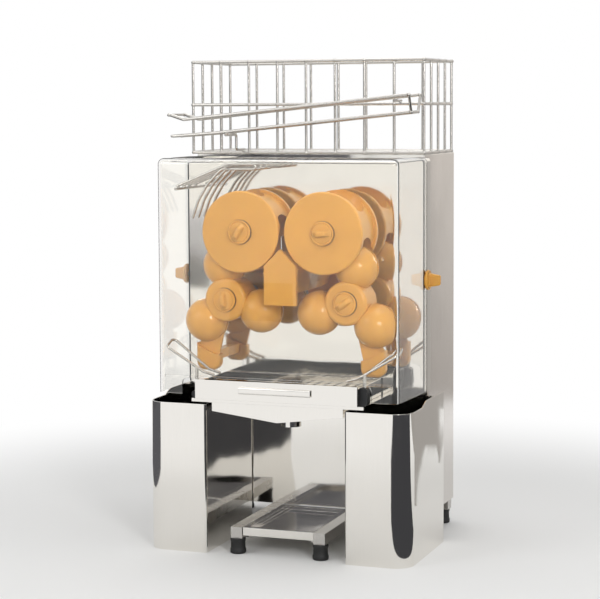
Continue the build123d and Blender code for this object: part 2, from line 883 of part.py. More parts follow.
def peel_guide(top):
    """The right peel guide: a wire loop that slopes up to the cover, on a post in its block."""
    y1 = pan_y - guide_back_reach
    peak_x = cover_half(guide_y) - cover_t - guide_side_gap - wire_r
    start = [(guide_in_x, guide_in_z), (guide_knee_x, guide_knee_z)]
    points = [(x, guide_y, z) for x, z in start + [(peak_x, guide_peak_z)]]
    points += [(x, y1, z) for x, z in [(peak_x, guide_peak_z + guide_back_rise)] + start[::-1]]
    loop = bent_wire(points, wire_r, guide_bend)
    slope = (guide_peak_z - guide_knee_z) / (peak_x - guide_knee_x)
    head = guide_knee_z + (post_x - guide_knee_x) * slope
    return loop + rod_z(post_x, guide_y, post_r, top - post_depth, head)


def peel_bin():
    """The right peel bin: an open steel box, its outer side raised towards the back."""
    back = panel_y - bin_back_gap
    corners = (bin_small_corner, bin_corner, bin_small_corner, bin_small_corner)
    inner = [r - sheet for r in corners]
    body = plan_block(bin_in, bin_out, front_y, back, 0, bin_h, corners)
    body -= plan_block(
        bin_in + sheet, bin_out - sheet, front_y + sheet, back - sheet, sheet, bin_h, inner
    )
    ear_front = pan_y - ear_reach
    end = back - bin_small_corner
    side = [(ear_front, bin_h), (end, bin_h), (end, bin_h + ear_h), (ear_front + ear_run, bin_h + ear_h)]
    ear = extrude(Plane.YZ * make_face(Polyline(*side, close=True)), sheet)
    return body + Pos(bin_out - sheet, 0, 0) * ear


# Clear cover
def cover_form(grow, corner, top_round, back, bottom):
    """The cover's outer or inner form, grown outwards from its inside faces."""
    front = cover_front + cover_t - grow
    top = pan_top + cover_gap + grow
    front_half = cover_half(front) - cover_t + grow
    back_half = cover_half(back) - cover_t + grow
    plan = [(-front_half, front), (front_half, front), (back_half, back), (-back_half, back)]
    outline = FilletPolyline(*plan, radius=(corner, corner, 0, 0), close=True)
    form = Pos(0, 0, bottom) * extrude(make_face(outline), top - bottom)
    rim = form.faces().sort_by(Axis.Z)[-1].edges().sort_by(Axis.Y)[:-1]
    return fillet(rim, top_round)


def clear_cover():
    """The clear hood: front, sides and top, with a fruit inlet and a notch for the drawer."""
    cover = cover_form(cover_t, cover_corner, cover_top_round, cover_back, cover_bottom)
    cover -= cover_form(
        0, cover_corner - cover_t, cover_top_round - cover_t, cover_back + cover_t,
        cover_bottom - cover_t,
    )
    half = pan_w / 2
    inside = cover_front + cover_t
    rib = cover_half(inside) - cover_corner
    cover += block(-rib, rib, inside, inside + cover_rib, notch_top, notch_top + cover_rib)
    cover -= arch(notch_half, cover_front, inside, cover_bottom, notch_top, notch_round)
    cover -= plan_block(
        inlet_left, inlet_right, pan_y - inlet_front_reach, pan_y - inlet_back_reach,
        pan_top, pan_top + cover_gap + cover_t, (inlet_round,) * 4,
    )
    slot_r = stud_r + stud_slot_room
    y = pan_y + stud_setback
    slot = rod_x(y, stud_z, slot_r, -half, half)
    slot += block(-half, half, y, cover_back, stud_z - slot_r, stud_z + slot_r)
    return cover - slot


# Basket
basket_y0 = pan_y + basket_front_setback
basket_y1 = basket_y0 + basket_depth
basket_low = deck_z + seat_gap + rail_wire_r
basket_rails = (basket_low, basket_mid, basket_top - rail_wire_r)


def basket_long_side(y):
    """The front or back grid: three rails and the uprights, with the corner uprights."""
    grid = Part()
    for z in basket_rails:
        grid += rod_x(y, z, rail_wire_r, -basket_half, basket_half)
    for k in range(basket_bays + 1):
        x = -basket_half + k * 2 * basket_half / basket_bays
        grid += rod_z(x, y, wire_r, basket_low, basket_rails[-1])
    return grid


def basket_short_side():
    """The right grid, between the corner uprights."""
    grid = Part()
    room = rail_wire_r + weld_gap
    for z in basket_rails:
        grid += rod_y(basket_half, z, rail_wire_r, basket_y0 + room, basket_y1 - room)
    for k in range(1, basket_side_bays):
        y = basket_y0 + k * basket_depth / basket_side_bays
        grid += rod_z(basket_half, y, wire_r, basket_low, basket_rails[-1])
    return grid


def basket_floor():
    """The floor wires, front to back, tied by one cross wire."""
    grid = Part()
    room = rail_wire_r + weld_gap
    for k in range(1, basket_bays):
        x = -basket_half + k * 2 * basket_half / basket_bays
        grid += rod_y(x, basket_low, wire_r, basket_y0 + room, basket_y1 - room)
    y = (basket_y0 + basket_y1) / 2
    end = basket_half - room
    return grid + rod_x(y, basket_low, rail_wire_r, -end, end)


def fruit_basket():
    """The wire basket on the deck: four grids and a floor."""
    side = basket_short_side()
    long_sides = [basket_long_side(basket_y0), basket_long_side(basket_y1)]
    return Compound(long_sides + [side, left(side), basket_floor()])


# Ramp
ramp_front = pan_y - ramp_front_reach
ramp_back = pan_y - ramp_back_reach
ramp_high_z = basket_mid + ramp_above_mid
ramp_slope = ramp_fall / (ramp_right - ramp_left)
hook_rise = rail_wire_r + seat_gap + wire_r


def rail_z(x):
    """The height of the upper rails at a place along the ramp."""
    return ramp_high_z - (ramp_right - x) * ramp_slope


def feed_ramp():
    """A sloping wire trough in front of the basket, hooked over its middle and bottom rails."""
    mid = (ramp_front + ramp_back) / 2
    rods = (mid - ramp_rod_spread / 2, mid + ramp_rod_spread / 2)
    low_end = rail_z(ramp_left)
    flare_z = low_end + ramp_flare
    rod_end = rail_z(ramp_right) - ramp_rod_drop
    tail_start = rail_z(ramp_tail) - ramp_rod_drop
    tail_end = tail_start - ramp_tail_fall
    pieces = []
    for y in (ramp_front, ramp_back):
        rail = [(ramp_right, y, ramp_high_z), (ramp_left, y, low_end), (ramp_end, y, flare_z)]
        pieces.append(bent_wire(rail, rail_wire_r, guide_bend))
    for y in rods:
        rod = [(ramp_right, y, rod_end), (ramp_tail, y, tail_start), (ramp_end, y, tail_end)]
        pieces.append(bent_wire(rod, rail_wire_r, guide_bend))
    weld = rail_wire_r + weld_gap + wire_r
    butt = weld_gap + wire_r
    end_x = ramp_end - butt
    pieces.append(rod_y(end_x, flare_z, wire_r, ramp_front - wire_r, ramp_back + wire_r))
    pieces.append(rod_y(end_x, tail_end, wire_r, rods[0] - wire_r, rods[1] + wire_r))
    saddle_x = ramp_right + butt
    saddle = [(saddle_x, ramp_front, ramp_high_z), (saddle_x, rods[0], rod_end),
              (saddle_x, rods[1], rod_end), (saddle_x, ramp_back, ramp_high_z)]
    pieces.append(bent_wire(saddle, wire_r, hook_bend))
    hook_end = basket_y0 + hook_over
    hook_x = ramp_right - (ramp_above_mid - hook_rise - weld) / ramp_slope
    pieces.append(rod_y(hook_x, basket_mid + hook_rise, wire_r, ramp_back - rail_wire_r, hook_end))
    leg_z = rail_z(ramp_leg_x) - ramp_rod_drop - weld
    leg_y = rods[1] + hook_over
    foot_z = basket_low + hook_rise
    leg = [(ramp_leg_x, rods[0] - wire_r, leg_z), (ramp_leg_x, leg_y, leg_z),
           (ramp_leg_x, leg_y, foot_z), (ramp_leg_x, hook_end, foot_z)]
    pieces.append(bent_wire(leg, wire_r, hook_bend))
    return Compound(pieces)


# Feed cradle
def cradle_wire(y):
    """One cradle wire: a shelf above, a hairpin, and a bow round the left cup drum below."""
    bow = []
    for k in range(cradle_steps + 1):
        left_over = 1 - k / cradle_steps
        radius = cradle_end_r + (cradle_top_r - cradle_end_r) * left_over**2
        angle = cradle_stop - (cradle_stop - cradle_start) * left_over
        bow.append(polar(-cup_x, cup_axis_z, radius, angle))
    outline = [(cradle_low_x, cradle_low_z), (cradle_shelf_x, cradle_shelf_z),
               (cradle_turn_x, cradle_shelf_z), (cradle_turn_x, bow[0][1])] + bow
    bends = [cradle_knee_bend, cradle_turn_bend, cradle_turn_bend, cradle_knee_bend / 2]
    bends += [cradle_bow_bend] * (cradle_steps - 1)
    return bent_wire([(x, y, z) for x, z in outline], wire_r, bends)


def feed_cradle():
    """Cradle wires side by side on two cross bars that stand out from the pan."""
    pieces = []
    for k in range(cradle_planes):
        y = drum_mid + (k - (cradle_planes - 1) / 2) * cradle_pitch
        pieces.append(cradle_wire(y))
    front = drum_mid - cradle_planes / 2 * cradle_pitch
    drop = wire_r * 2 + weld_gap
    pieces.append(rod_y(cradle_low_x + wire_r, cradle_low_z - drop, wire_r, front, pan_y))
    pieces.append(rod_y(cradle_shelf_x, cradle_shelf_z - drop, wire_r, front, pan_y))
    return Compound(pieces)


# Electrical pieces
def switch_bezel():
    """The switch's frame and body in the left side of the cabinet."""
    outer = half_cabinet + bezel_t
    inner = half_cabinet - switch_body_depth
    w, h = switch_w / 2, switch_h / 2
    frame = block(
        -outer, -half_cabinet, switch_y - w - bezel_border, switch_y + w + bezel_border,
        switch_z - h - bezel_border, switch_z + h + bezel_border,
    )
    frame += block(-half_cabinet, -inner, switch_y - w, switch_y + w, switch_z - h, switch_z + h)
    w -= sheet
    h -= sheet
    return frame - block(
        -outer, -inner - sheet * 2, switch_y - w, switch_y + w, switch_z - h, switch_z + h
    )


def rocker_switch():
    """The rocker: a shallow roof on a cross pin."""
    w = switch_w / 2 - sheet - rocker_gap
    h = switch_h / 2 - sheet - rocker_gap
    pivot = -half_cabinet
    face = pivot - rocker_proud
    end = pivot - rocker_proud / 2
    arm = pivot + rocker_arm
    outline = [(face, switch_z), (end, switch_z + h), (arm, switch_z + h),
               (arm, switch_z - h), (end, switch_z - h)]
    rocker = front_prism(outline, switch_y - w, switch_y + w)
    return rocker.rotate(Axis((pivot, 0, switch_z), (0, 1, 0)), rocker_tilt)


def power_inlet():
    """The mains inlet, flush in the cabinet's back."""
    x, z = inlet_socket_x, inlet_socket_z
    w, h = inlet_socket_w / 2, inlet_socket_h / 2
    body = block(x - w, x + w, back_y - inlet_socket_depth, back_y, z - h, z + h)
    w -= socket_wall
    h -= socket_wall
    return body - block(x - w, x + w, back_y - socket_mouth_depth, back_y, z - h, z + h)


def control_box():
    """The motor's control box on the cabinet floor."""
    z0 = rail_top + sheet
    y1 = back_y - sheet - cabinet_corner
    return block(box_x - box_w / 2, box_x + box_w / 2, y1 - box_depth, y1, z0, z0 + box_h)


def interlock_switch():
    """The switch behind the pan that stops the motor when the cover is off."""
    z1 = pan_top - interlock_drop
    y0 = pan_y + sheet
    return block(
        interlock_x, interlock_x + interlock_w, y0, y0 + interlock_depth, z1 - interlock_h, z1
    )


# Assembly
nodes = {
    "base_frame": base_frame(),
    "rubber_feet": rubber_feet(),
    "drip_tray": drip_tray(),
    "cabinet_floor": cabinet_floor(),
    "cabinet_shell": cabinet_shell(),
    "top_deck": top_deck(),
    "lower_front_panel": lower_front_panel(),
    "chamber_pan": chamber_pan(),
    "front_gear_plate": gear_plate(front_plate_y),
    "rear_gear_plate": rear_gear_plate(),
    "gear_spacers": gear_spacers(),
    "shaft_bearings": shaft_bearings(),
    "shaft_seals": shaft_seals(),
    "right_cup_shaft": shaft(cup_x, cup_axis_z, drum_front, drum_back),
    "right_ball_shaft": shaft(ball_x, ball_axis_z, hub_front, hub_back),
    "right_cup_gear": drive_gear(cup_x, cup_axis_z, mesh_heading),
    "right_ball_gear": drive_gear(ball_x, ball_axis_z, ball_gear_phase),
    "right_sync_gear": sync_gear(cup_x, 180),
    "left_sync_gear": sync_gear(-cup_x, 180 / sync_teeth),
    "motor_pinion": motor_pinion(),
    "gearmotor": gearmotor(),
    "right_cup_drum": cup_drum(),
    "right_ball_drum": ball_drum(),
    "right_cup_nut": drum_nut(cup_x, cup_axis_z, drum_front, right_cup_turn),
    "left_cup_nut": drum_nut(-cup_x, cup_axis_z, drum_front, left_cup_turn),
    "right_ball_nut": drum_nut(ball_x, ball_axis_z, hub_front, right_ball_turn),
    "left_ball_nut": drum_nut(-ball_x, ball_axis_z, hub_front, left_ball_turn),
    "cover_studs": cover_studs(),
    "right_cover_knob": cover_knob(),
    "knife_holder": knife_holder(),
    "knife_blade": knife_blade(),
    "juice_trough": juice_trough(),
    "strainer_drawer": strainer_drawer(),
    "guide_blocks": guide_blocks(),
    "right_peel_ejector": peel_ejector(),
    "right_peel_guide": peel_guide(block_top),
    "left_peel_guide": left(peel_guide(low_block_top)),
    "right_peel_bin": peel_bin(),
    "clear_cover": clear_cover(),
    "fruit_basket": fruit_basket(),
    "feed_ramp": feed_ramp(),
    "feed_cradle": feed_cradle(),
    "switch_bezel": switch_bezel(),
    "rocker_switch": rocker_switch(),
    "power_inlet": power_inlet(),
    "control_box": control_box(),
    "interlock_switch": interlock_switch(),
}
twins = [
    "cup_shaft", "ball_shaft", "cup_gear", "ball_gear", "cup_drum", "ball_drum", "cover_knob",
    "peel_ejector", "peel_bin",
]
for name in twins:
    nodes["left_" + name] = left(nodes["right_" + name])

for name, shape in nodes.items():
    export_step(shape, f"parts/{name}.step")
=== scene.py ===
# %% [markdown]
# # A counter-top citrus juicer
# The machine is a steel cabinet with a clear cover in front. Behind the cover two cup drums and
# two ball drums press the fruit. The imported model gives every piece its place, so this script
# only adds what the eye needs: finishes, smooth skins, wires, fasteners and light.

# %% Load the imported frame
import json
import math

import bmesh
import bpy
from mathutils import Matrix, Vector


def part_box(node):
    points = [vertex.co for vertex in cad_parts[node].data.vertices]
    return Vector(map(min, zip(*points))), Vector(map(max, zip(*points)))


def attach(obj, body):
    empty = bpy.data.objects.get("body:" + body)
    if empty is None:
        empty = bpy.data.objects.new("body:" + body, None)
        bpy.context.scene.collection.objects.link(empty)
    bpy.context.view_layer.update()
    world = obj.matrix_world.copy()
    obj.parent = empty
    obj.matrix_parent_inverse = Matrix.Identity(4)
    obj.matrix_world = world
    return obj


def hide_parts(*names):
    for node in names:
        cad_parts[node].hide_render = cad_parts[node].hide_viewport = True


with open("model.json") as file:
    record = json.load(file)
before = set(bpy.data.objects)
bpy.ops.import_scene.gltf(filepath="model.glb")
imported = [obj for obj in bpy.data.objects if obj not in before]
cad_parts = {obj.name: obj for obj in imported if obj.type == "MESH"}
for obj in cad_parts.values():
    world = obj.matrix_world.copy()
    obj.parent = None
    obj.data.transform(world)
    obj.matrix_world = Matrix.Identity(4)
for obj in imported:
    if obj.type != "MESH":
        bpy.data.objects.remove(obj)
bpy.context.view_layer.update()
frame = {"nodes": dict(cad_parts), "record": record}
nodes = frame["nodes"]
MM = 0.001

# %% [markdown]
# ## Camera
# The photograph was taken with a long lens from the front right, a little above the middle of
# the machine. The place, the turn and the lens were worked out from corners of the cabinet, the
# basket and the bins. A long lens keeps the upright edges nearly parallel.

# %% Place the camera
IMAGE_WIDTH = 600
SENSOR_MM = 36.0
FOCAL_PIXELS = 1842.14
CAMERA_PLACE = Vector((0.95613, -2.65437, 0.66466))
CAMERA_YAW = math.radians(20.154)
CAMERA_PITCH = math.radians(4.89)
CAMERA_ROLL = math.radians(-0.294)
CAMERA_SHIFT_Y = -0.06

lens = bpy.data.cameras.new("photo_camera")
lens.sensor_width = SENSOR_MM
lens.lens = FOCAL_PIXELS * SENSOR_MM / IMAGE_WIDTH
lens.shift_y = CAMERA_SHIFT_Y
camera = bpy.data.objects.new("photo_camera", lens)
turn = Matrix.Rotation(CAMERA_YAW, 4, "Z") @ Matrix.Rotation(math.pi / 2 - CAMERA_PITCH, 4, "X")
camera.matrix_world = Matrix.Translation(CAMERA_PLACE) @ turn @ Matrix.Rotation(CAMERA_ROLL, 4, "Z")
bpy.context.scene.collection.objects.link(camera)
bpy.context.scene.camera = camera
print("lens", round(lens.lens, 1), "mm at", tuple(CAMERA_PLACE))

# %% [markdown]
# ## Tools for finishes
# Two small functions serve every material. One turns a written sRGB colour into the linear
# values that the shader works with. The other adds a node, sets it and links it in one call.

# %% Colour and node helpers
def linear(hex_colour):
    """Linear RGBA of an sRGB colour written as RRGGBB."""
    channels = [int(hex_colour[i : i + 2], 16) / 255 for i in (0, 2, 4)]
    return [c / 12.92 if c <= 0.04045 else ((c + 0.055) / 1.055) ** 2.4 for c in channels] + [1.0]


def add_node(tree, kind, inputs=None, **settings):
    """Adds a node, sets its properties and sets or links its inputs."""
    made = tree.nodes.new(kind)
    for key, value in settings.items():
        setattr(made, key, value)
    for key, value in (inputs or {}).items():
        if isinstance(value, bpy.types.NodeSocket):
            tree.links.new(value, made.inputs[key])
        else:
            made.inputs[key].default_value = value
    return made


def new_finish(name):
    """An empty material with its output node and the place on the object, in metres."""
    material = bpy.data.materials.new(name)
    material.use_nodes = True
    tree = material.node_tree
    tree.nodes.clear()
    out = add_node(tree, "ShaderNodeOutputMaterial")
    place = add_node(tree, "ShaderNodeTexCoord").outputs["Object"]
    return material, tree, out, place


print("helpers ready")

# %% [markdown]
# ## Polished stainless steel
# The bins, the drawer, the trough and the panel behind the glass are stainless sheet with a
# mirror polish. A polished sheet is never quite flat, so its reflections waver over some
# centimetres, and wiping leaves faint smears that change the gloss. The polishing grain is some
# hundredths of a millimetre wide, too fine to show, so it is drawn about a millimetre wide. One
# function makes every metal here, because they differ only in colour, gloss and grain.

# %% Polished stainless steel
EDGE_MM = 0.5
SMEAR_MM = 90.0
NOISE_LOW, NOISE_HIGH = 0.3, 0.7  # where most of a noise lies


def stainless(
    name, colour, low_rough, high_rough, grain_mm, grain_stretch, grain_depth, wave_depth, wave_mm=160
):
    """Stainless sheet: a grain along Z, smears in the gloss and a slow waver in the surface."""
    material, tree, out, place = new_finish(name)
    grain_scale = 1 / (grain_mm * MM)
    stretched = add_node(
        tree, "ShaderNodeVectorMath", {0: place, 1: (1, 1, 1 / grain_stretch)}, operation="MULTIPLY"
    )
    grain = add_node(
        tree, "ShaderNodeTexNoise",
        {"Vector": stretched.outputs[0], "Scale": grain_scale, "Detail": 2.0},
    )
    smear = add_node(
        tree, "ShaderNodeTexNoise", {"Vector": place, "Scale": 1 / (SMEAR_MM * MM), "Detail": 3.0}
    )
    gloss = add_node(
        tree, "ShaderNodeMapRange",
        {"Value": smear.outputs["Fac"], "From Min": NOISE_LOW, "From Max": NOISE_HIGH,
         "To Min": low_rough, "To Max": high_rough},
    )
    waver = add_node(
        tree, "ShaderNodeTexNoise", {"Vector": place, "Scale": 1 / (wave_mm * MM), "Detail": 0.0}
    )
    edge = add_node(tree, "ShaderNodeBevel", {"Radius": EDGE_MM * MM}, samples=4)
    sheet_bump = add_node(
        tree, "ShaderNodeBump",
        {"Height": waver.outputs["Fac"], "Distance": wave_depth * MM, "Strength": 1.0,
         "Normal": edge.outputs["Normal"]},
    )
    grain_bump = add_node(
        tree, "ShaderNodeBump",
        {"Height": grain.outputs["Fac"], "Distance": grain_depth * MM, "Strength": 1.0,
         "Normal": sheet_bump.outputs["Normal"]},
    )
    tint = add_node(
        tree, "ShaderNodeMix",
        {"Factor": grain.outputs["Fac"], "A": linear(colour[0]), "B": linear(colour[1])},
        data_type="RGBA",
    )
    shader = add_node(
        tree, "ShaderNodeBsdfPrincipled",
        {"Base Color": tint.outputs["Result"], "Metallic": 1.0, "Roughness": gloss.outputs["Result"],
         "Normal": grain_bump.outputs["Normal"]},
    )
    tree.links.new(shader.outputs["BSDF"], out.inputs["Surface"])
    return material


finishes = {}
# Mirror polish on bins, drawer, trough and panel: clear reflections that waver.
finishes["polished_steel"] = stainless(
    "stainless_mirror_polished", ("EAE7E1", "EEEBE6"), 0.03, 0.09, 1.2, 40, 0.0004, 1.0, 75
)
# Bright rolled sheet on the cabinet: softer reflections, drawn out along the grain.
finishes["satin_steel"] = stainless(
    "stainless_bright_rolled", ("CFC9C3", "DAD5D0"), 0.12, 0.2, 0.9, 60, 0.006, 0.4
)
# Satin bar in the base frame: dull and even.
finishes["frame_steel"] = stainless(
    "stainless_satin_bar", ("BDBAB6", "CAC7C3"), 0.25, 0.34, 0.8, 30, 0.01, 0.05
)
# Drawn wire in basket, ramp and guides: a bright line along each rod.
finishes["wire_steel"] = stainless(
    "stainless_drawn_wire", ("B4B1AC", "C4C1BC"), 0.16, 0.26, 0.5, 8, 0.004, 0.0
)
# A ground blade: a cold grey with fine lines.
finishes["knife_steel"] = stainless(
    "stainless_ground_blade", ("BFC0C0", "D0D0D0"), 0.15, 0.25, 0.5, 20, 0.006, 0.0
)
# Turned shafts, gears and screws: a darker, duller grey.
finishes["machined_steel"] = stainless(
    "steel_turned", ("9A9A9A", "ABABAB"), 0.28, 0.4, 0.4, 4, 0.01, 0.0
)
# Milled plate in the drive: pale and nearly matt.
finishes["aluminium_plate"] = stainless(
    "aluminium_milled", ("BEBFC2", "CFD0D2"), 0.3, 0.42, 0.8, 12, 0.02, 0.0
)
print("metal finishes:", sorted(finishes))

# %% [markdown]
# ## Moulded plastics and rubber
# The drums, the knife block and the knobs are moulded in one orange plastic, a food-safe acetal
# with a satin skin. Light goes a little way into it, so its shaded sides stay warm. The feet are
# black rubber, and the small guide blocks and electrical parts are black nylon. The skin of a
# spark-eroded mould is too fine to show, so it is drawn about a millimetre wide.

# %% Orange acetal, black nylon, rubber and paint
CLOUD_MM = 35.0
GLOSS_SPREAD = 0.04
GLOW_MM = 4.0
GLOW_REACH = (1.0, 0.45, 0.15)  # red goes deepest
SKIN_ROUGH = 0.1


def moulded(
    name, colour, roughness, skin_mm, skin_depth, ior,
    mottle=0.06, glow=0.0, polish=0.0, sheen=0.5,
):
    """A moulded skin: a fine spark-eroded texture, slight mottling and a little light inside."""
    material, tree, out, place = new_finish(name)
    skin = add_node(
        tree, "ShaderNodeTexNoise", {"Vector": place, "Scale": 1 / (skin_mm * MM), "Detail": 3.0}
    )
    cloud = add_node(
        tree, "ShaderNodeTexNoise", {"Vector": place, "Scale": 1 / (CLOUD_MM * MM), "Detail": 2.0}
    )
    edge = add_node(tree, "ShaderNodeBevel", {"Radius": EDGE_MM * MM}, samples=4)
    bump = add_node(
        tree, "ShaderNodeBump",
        {"Height": skin.outputs["Fac"], "Distance": skin_depth * MM, "Strength": 1.0,
         "Normal": edge.outputs["Normal"]},
    )
    shade = add_node(
        tree, "ShaderNodeMapRange",
        {"Value": cloud.outputs["Fac"], "From Min": NOISE_LOW, "From Max": NOISE_HIGH,
         "To Min": 1 - mottle, "To Max": 1 + mottle},
    )
    tint = add_node(
        tree, "ShaderNodeMix",
        {"Factor": 1.0, "A": linear(colour), "B": shade.outputs["Result"]},
        data_type="RGBA", blend_type="MULTIPLY",
    )
    gloss = add_node(
        tree, "ShaderNodeMapRange",
        {"Value": cloud.outputs["Fac"], "From Min": NOISE_LOW, "From Max": NOISE_HIGH,
         "To Min": roughness - GLOSS_SPREAD, "To Max": roughness + GLOSS_SPREAD},
    )
    shader = add_node(
        tree, "ShaderNodeBsdfPrincipled",
        {"Base Color": tint.outputs["Result"], "Roughness": gloss.outputs["Result"], "IOR": ior,
         "Normal": bump.outputs["Normal"], "Subsurface Weight": glow,
         "Subsurface Radius": GLOW_REACH, "Subsurface Scale": GLOW_MM * MM,
         "Coat Weight": polish, "Coat Roughness": SKIN_ROUGH, "Specular IOR Level": sheen},
    )
    tree.links.new(shader.outputs["BSDF"], out.inputs["Surface"])
    return material


# Acetal: satin, with a thin glossy skin that gives each ball one small highlight.
finishes["orange_plastic"] = moulded(
    "acetal_orange_moulded", "D69B42", 0.36, 0.8, 0.01, 1.48,
    mottle=0.04, glow=0.1, polish=0.6, sheen=0.1,
)
# Nylon, rubber and enamel: dark and satin, dark and matt, grey and half glossy.
finishes["black_plastic"] = moulded("nylon_black_moulded", "16171A", 0.45, 0.7, 0.02, 1.53)
finishes["black_rubber"] = moulded("rubber_black_moulded", "131313", 0.62, 1.0, 0.04, 1.52)
finishes["grey_paint"] = moulded("enamel_grey_sprayed", "6A6E70", 0.35, 1.6, 0.03, 1.5)
print("moulded finishes ready")

# %% [markdown]
# ## Clear acrylic
# The cover is bent and glued from clear acrylic sheet. It bends light nearly as window glass does
# and shows its edges as grey lines. Handling leaves a faint haze in patches. Light has to get
# through to the drums, so rays that only look for a lamp pass straight through the sheet.

# %% Clear acrylic
DUST_MM = 50.0
clear, tree, out, place = new_finish("acrylic_clear_sheet")
dust = add_node(
    tree, "ShaderNodeTexNoise", {"Vector": place, "Scale": 1 / (DUST_MM * MM), "Detail": 4.0}
)
haze = add_node(
    tree, "ShaderNodeMapRange",
    {"Value": dust.outputs["Fac"], "From Min": 0.35, "From Max": 0.75, "To Min": 0.0, "To Max": 0.03},
)
sheet_shader = add_node(
    tree, "ShaderNodeBsdfPrincipled",
    {"Base Color": linear("FFFEFB"), "Roughness": haze.outputs["Result"], "IOR": 1.49,
     "Transmission Weight": 1.0},
)
passing = add_node(tree, "ShaderNodeBsdfTransparent", {"Color": linear("F4F5F4")})
light_path = add_node(tree, "ShaderNodeLightPath")
both = add_node(
    tree, "ShaderNodeMixShader",
    {0: light_path.outputs["Is Shadow Ray"], 1: sheet_shader.outputs["BSDF"],
     2: passing.outputs["BSDF"]},
)
tree.links.new(both.outputs[0], out.inputs["Surface"])
finishes["clear_plastic"] = clear
print("clear sheet ready")

# %% [markdown]
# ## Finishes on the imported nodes
# The record names a material slot for every node, so one loop dresses them all.

# %% Dress the nodes
for part in frame["record"]["subparts"]:
    mesh = nodes[part["node"]].data
    mesh.materials.clear()
    mesh.materials.append(finishes[part["material_slot"]])
print("dressed", len(nodes), "nodes")

# %% [markdown]
# ## Tools for pieces
# Small parts that a sheet-metal model leaves out are added as meshes: moulded grips, feet, weld
# beads, rims, screws. They could each be modelled by hand, but nearly all of them are a stack of
# closed rings with skin between, so one function lofts rings and another turns a profile on a
# lathe. A last one hands the mesh to the body that carries it.

# %% Loft, lathe and add
def loft(bm, rings, place=Matrix()):
    """Skins a stack of closed rings of points, set in place, and closes both ends."""
    rows = [[bm.verts.new(place @ Vector(p)) for p in ring] for ring in rings]
    faces = [list(reversed(rows[0])), rows[-1]]
    for low, high in zip(rows, rows[1:]):
        for k in range(len(low)):
            after = (k + 1) % len(low)
            faces.append((low[k], low[after], high[after], high[k]))
    for corners in faces:
        bm.faces.new(corners)


def lathe(bm, profile, place=Matrix(), steps=40):
    """Turns a profile of (radius, height) points about Z, upwards, and sets it in place."""
    turns = [2 * math.pi * k / steps for k in range(steps)]
    loft(bm, [[(r * math.cos(a), r * math.sin(a), h) for a in turns] for r, h in profile], place)


def add_piece(name, bm, body, slot, replaced=(), crease=40):
    """Makes a piece of a mesh in millimetres, lets it ride on a body and gives it a slot's finish."""
    bmesh.ops.recalc_face_normals(bm, faces=bm.faces)
    bmesh.ops.scale(bm, vec=(MM, MM, MM), verts=bm.verts)
    mesh = bpy.data.meshes.new(name)
    bm.to_mesh(mesh)
    bm.free()
    mesh.shade_smooth()
    mesh.set_sharp_from_angle(angle=math.radians(crease))
    mesh.materials.append(finishes[slot])
    made = bpy.data.objects.new(name, mesh)
    bpy.context.scene.collection.objects.link(made)
    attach(made, body)
    if replaced:
        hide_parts(*replaced)
    print(name, "rides on", body, "with", len(mesh.polygons), "faces")


def box_mm(node):
    """Lowest corner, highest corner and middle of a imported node, in millimetres."""
    low, high = [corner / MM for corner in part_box(node)]
    return low, high, (low + high) / 2


print("piece tools ready")

# %% [markdown]
# ## Hand nuts and cover knobs
# Each drum is held by a moulded hand nut, and the cover by two knobs of the same kind: a round
# foot with a groove near its rim, and a tapered wing for two fingers. A box with a bevel would
# look cut from sheet. Here the wing is lofted from rounded rings that flare where they meet the
# foot and draw in over the crest, as a moulding does. A thin black ring under each drum's nut is
# painted shade: it draws the dark shadow line round the nut's edge.

# %% Shapes of the nuts and knobs
NUT_BASE = 5.0
WING_TOP = 15.0
WING_THICK = 9.5
FLARE = 2.0
CREST = 2.2
NUT_FOOT, KNOB_FOOT = 30.0, 25.0
WING_SINK = 0.3  # into the foot, so that no gap shows
NUT_STEPS = 64
# Sizes of the thin black ring under each drum nut, painted shade for the shadow line at its edge.
SHADE_RING_OUT, SHADE_RING_THICK, SHADE_RING_EDGE = 0.5, 0.8, 0.2
SKIN_GAP = 0.02  # keeps two faces from lying in one plane


def rounded_ring(half_length, half_width, height, power=4.5, steps=48):
    """A rounded rectangle in a level plane, from the formula of a superellipse."""
    ring = []
    for k in range(steps):
        c, s = math.cos(2 * math.pi * k / steps), math.sin(2 * math.pi * k / steps)
        x = half_length * math.copysign(abs(c) ** (2 / power), c)
        y = half_width * math.copysign(abs(s) ** (2 / power), s)
        ring.append((x, y, height))
    return ring


def wing_rings(foot, rise):
    """The wing's rings: a flare at the foot, a taper, and a crest drawn in by a quarter circle."""
    steps = [k * math.pi / 8 for k in range(5)]
    levels = [(FLARE * (1 - math.sin(a)), FLARE * (1 - math.cos(a))) for a in steps]
    levels += [(0, rise / 2)]
    levels += [(-CREST * (1 - math.cos(a)), rise - CREST + CREST * math.sin(a)) for a in steps]
    rings = []
    for out, height in levels:
        share = height / rise
        half_length = (foot + (WING_TOP - foot) * share) / 2 - FLARE * (1 - share) + out
        half_width = WING_THICK * (1 - 0.25 * share) / 2 + out * 0.8
        rings.append(rounded_ring(half_length, half_width, NUT_BASE - WING_SINK + height))
    return rings


def nut_profile(radius):
    """The round foot, with a dark line under its rim and a groove inside it."""
    return [
        (radius - 2.6, 0), (radius - 2.2, 0.9), (radius - 0.5, 1.3), (radius, 2.0), (radius, 3.6),
        (radius - 0.5, 4.6), (radius - 1.4, NUT_BASE),
        (radius - 2.2, 4.8), (radius - 2.7, 4.0), (radius - 3.4, 4.0), (radius - 3.9, 4.8),
        (radius - 4.8, NUT_BASE), (1.0, NUT_BASE),
    ]


def hand_nut(node, body, axis_turn, seat, radius, foot, rise):
    """A nut or knob in place of its node, on its seat."""
    place = Matrix.Translation(seat) @ axis_turn
    bm = bmesh.new()
    lathe(bm, nut_profile(radius), place, NUT_STEPS)
    loft(bm, wing_rings(foot, rise), place)
    add_piece(node + "_moulded", bm, body, "orange_plastic", [node])


print("nut shapes ready")

